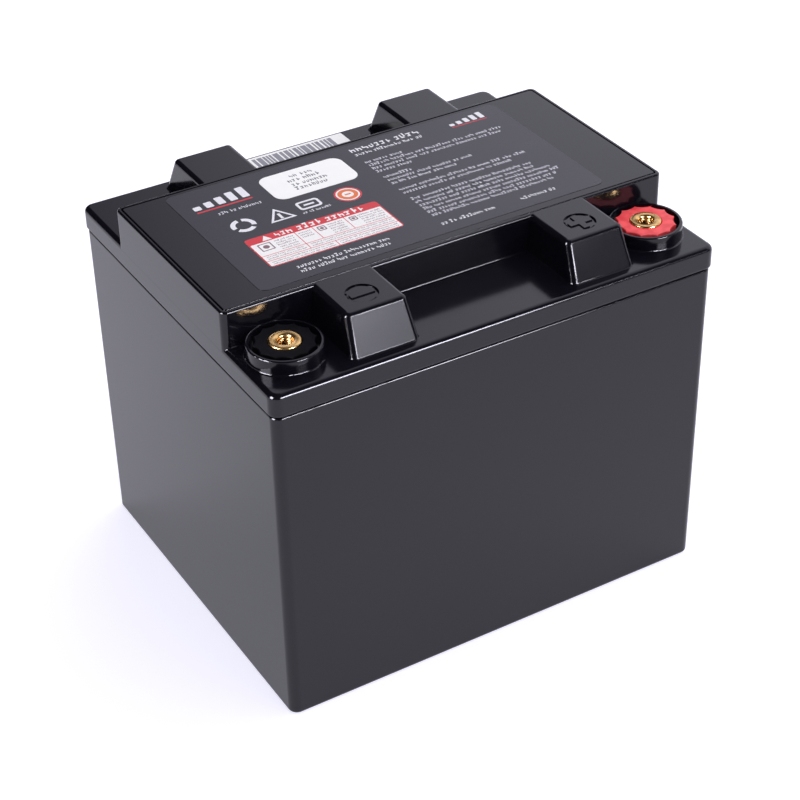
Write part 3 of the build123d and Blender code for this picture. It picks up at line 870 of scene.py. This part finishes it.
def bar_sticker():
    """Broad grey bars on the white sticker of the back ledge, with a plain end."""
    low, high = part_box("barcode_label")
    origin = Vector((low.x, low.y, high.z))
    width, depth = (high.x - low.x) / MM, (high.y - low.y) / MM
    rng = random.Random(SEED + 2)
    bars = Print(origin)
    x = BAR_MARGIN
    while True:
        bar = rng.uniform(*BAR_WIDTH)
        if x + bar > width - PLAIN_END:
            break
        bars.shape(box_outline(x, x + bar, BAR_MARGIN, depth - BAR_MARGIN))
        x += bar + rng.uniform(*BAR_GAP)
    bars.piece("barcode_bars", ink("ink_grey_bars", BAR_INK), "label_paper")


# ---------------------------------------------------------------- threaded bushes

# Sizes in millimetres, and the number of rows in one turn of the thread
THREAD_PITCH = 1.0
THREAD_DEPTH = 0.5
THREAD_FADE = 0.5
THREAD_ROWS = 10
ROUND_SIDES = 64
BUSH_FILLET = 0.7
BUSH_FILLET_STEPS = 6
BUSH_BORE = 2.5
BUSH_MOUTH = 1.0
BUSH_FLOOR = 2.3
MOUTH_EDGE = 0.12
MOUTH_EDGE_DROP = 0.08
TERMINAL_NODES = {-1: "negative_terminal_insert", 1: "positive_terminal_insert"}


def terminal_axis(side):
    """Centre of a terminal in plan, -1 negative or +1 positive."""
    low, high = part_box(TERMINAL_NODES[side])
    return (low + high) / 2


def ring_angle(step):
    """Angle of a vertex on a ring of the bush."""
    return 2 * math.pi * step / ROUND_SIDES


def bush_profile(radius, height):
    """Profile of the bush from its bottom edge over the top to the countersink, as radius and height."""
    profile = [(radius, 0.0)]
    for step in range(BUSH_FILLET_STEPS + 1):
        angle = math.radians(90 * step / BUSH_FILLET_STEPS)
        inwards = BUSH_FILLET * (1 - math.cos(angle))
        down = BUSH_FILLET * (1 - math.sin(angle))
        profile.append((radius - inwards, height - down))
    profile.append((BUSH_BORE + BUSH_MOUTH + MOUTH_EDGE, height))
    profile.append((BUSH_BORE + BUSH_MOUTH, height - MOUTH_EDGE_DROP))
    return profile


def thread_radius(angle, height, bottom, top):
    """Radius of the bore: a triangular thread that fades out at both ends."""
    turns = height / THREAD_PITCH - angle / (2 * math.pi)
    phase = turns - math.floor(turns)
    cut = 1 - abs(2 * phase - 1)
    fade = min(1.0, (height - bottom) / THREAD_FADE, (top - height) / THREAD_FADE)
    return BUSH_BORE + THREAD_DEPTH * cut * max(0.0, fade)


def add_ring(mesh, centre, radii, z):
    """Ring of vertices round an axis, with a radius in millimetres for each, at a height in metres."""
    ring = []
    for step, radius in enumerate(radii):
        angle = ring_angle(step)
        x = centre.x + radius * MM * math.cos(angle)
        y = centre.y + radius * MM * math.sin(angle)
        ring.append(mesh.verts.new((x, y, z)))
    return ring


def threaded_bush(name, side, brass):
    """Brass bush with its thread cut, in place of the plain bored one."""
    low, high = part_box(TERMINAL_NODES[side])
    centre = terminal_axis(side)
    height = (high.z - low.z) / MM
    radius = (high.x - low.x) / 2 / MM
    mouth_z = height - BUSH_MOUTH
    mesh = bmesh.new()
    profile = bush_profile(radius, height)
    rows = [add_ring(mesh, centre, [r] * ROUND_SIDES, low.z + z * MM) for r, z in profile]
    steps = int((mouth_z - BUSH_FLOOR) / THREAD_PITCH * THREAD_ROWS)
    for step in range(steps + 1):
        z = mouth_z + (BUSH_FLOOR - mouth_z) * step / steps
        radii = [thread_radius(ring_angle(this), z, BUSH_FLOOR, mouth_z) for this in range(ROUND_SIDES)]
        rows.append(add_ring(mesh, centre, radii, low.z + z * MM))
    for upper, lower in zip(rows, rows[1:]):
        for this in range(ROUND_SIDES):
            following = (this + 1) % ROUND_SIDES
            mesh.faces.new((upper[this], upper[following], lower[following], lower[this]))
    mesh.faces.new(rows[0])
    mesh.faces.new(rows[-1])
    piece = finish_piece(mesh, name, brass, smooth=True)
    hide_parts(TERMINAL_NODES[side])


# ---------------------------------------------------------------- putting it together

def paint(node, material):
    """Gives a CAD node this material in all its slots."""
    for slot in frame["nodes"][node].material_slots:
        slot.material = material


def paint_by_slot(finishes):
    """Gives every CAD node the finish of its slot in the record."""
    for subpart in frame["record"]["subparts"]:
        slot = subpart["material_slot"]
        if slot in finishes:
            paint(subpart["node"], finishes[slot])


bpy.context.scene.view_settings.view_transform = "Standard"
middle = (cad_low + cad_high) / 2
add_camera(middle)
add_floor(cad_low.z)
add_room()
add_fill("fill")
add_softbox("softbox_right", middle, **RIGHT_BOX)
add_softbox("softbox_right_skirt", middle, **RIGHT_SKIRT)
add_softbox("softbox_left", middle, **LEFT_BOX)

brass = turned_brass("turned_brass")
paper = coated_paper("coated_paper")
paint_by_slot({
    "label_film": label_film("label_film"),
    "label_paper": paper,
    "brass": brass,
    "ring_black": cast_epoxy("epoxy_black", **BLACK_RING),
    "ring_red": cast_epoxy("epoxy_red", **RED_RING),
    "seal_rubber": moulded_rubber("seal_rubber", SEAL_COLOUR),
    "valve_rubber": moulded_rubber("valve_rubber", VALVE_COLOUR),
    "separator_mat": glass_mat("glass_mat"),
    "positive_plate": pasted_plate("positive_paste", **POSITIVE_PLATE),
    "negative_plate": pasted_plate("negative_paste", **NEGATIVE_PLATE),
    "lead": cast_lead("cast_lead"),
})
paint("case", moulded_plastic("case_plastic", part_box("case")[1], 1.0))
lid_plastic = moulded_plastic("lid_plastic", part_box("lid")[1], 0.0)
paint("lid", lid_plastic)
paint("cover_plate", lid_plastic)

printed_label()
rating_sticker(paper)
bar_sticker()
threaded_bush("negative_threaded_bush", -1, brass)
threaded_bush("positive_threaded_bush", 1, brass)
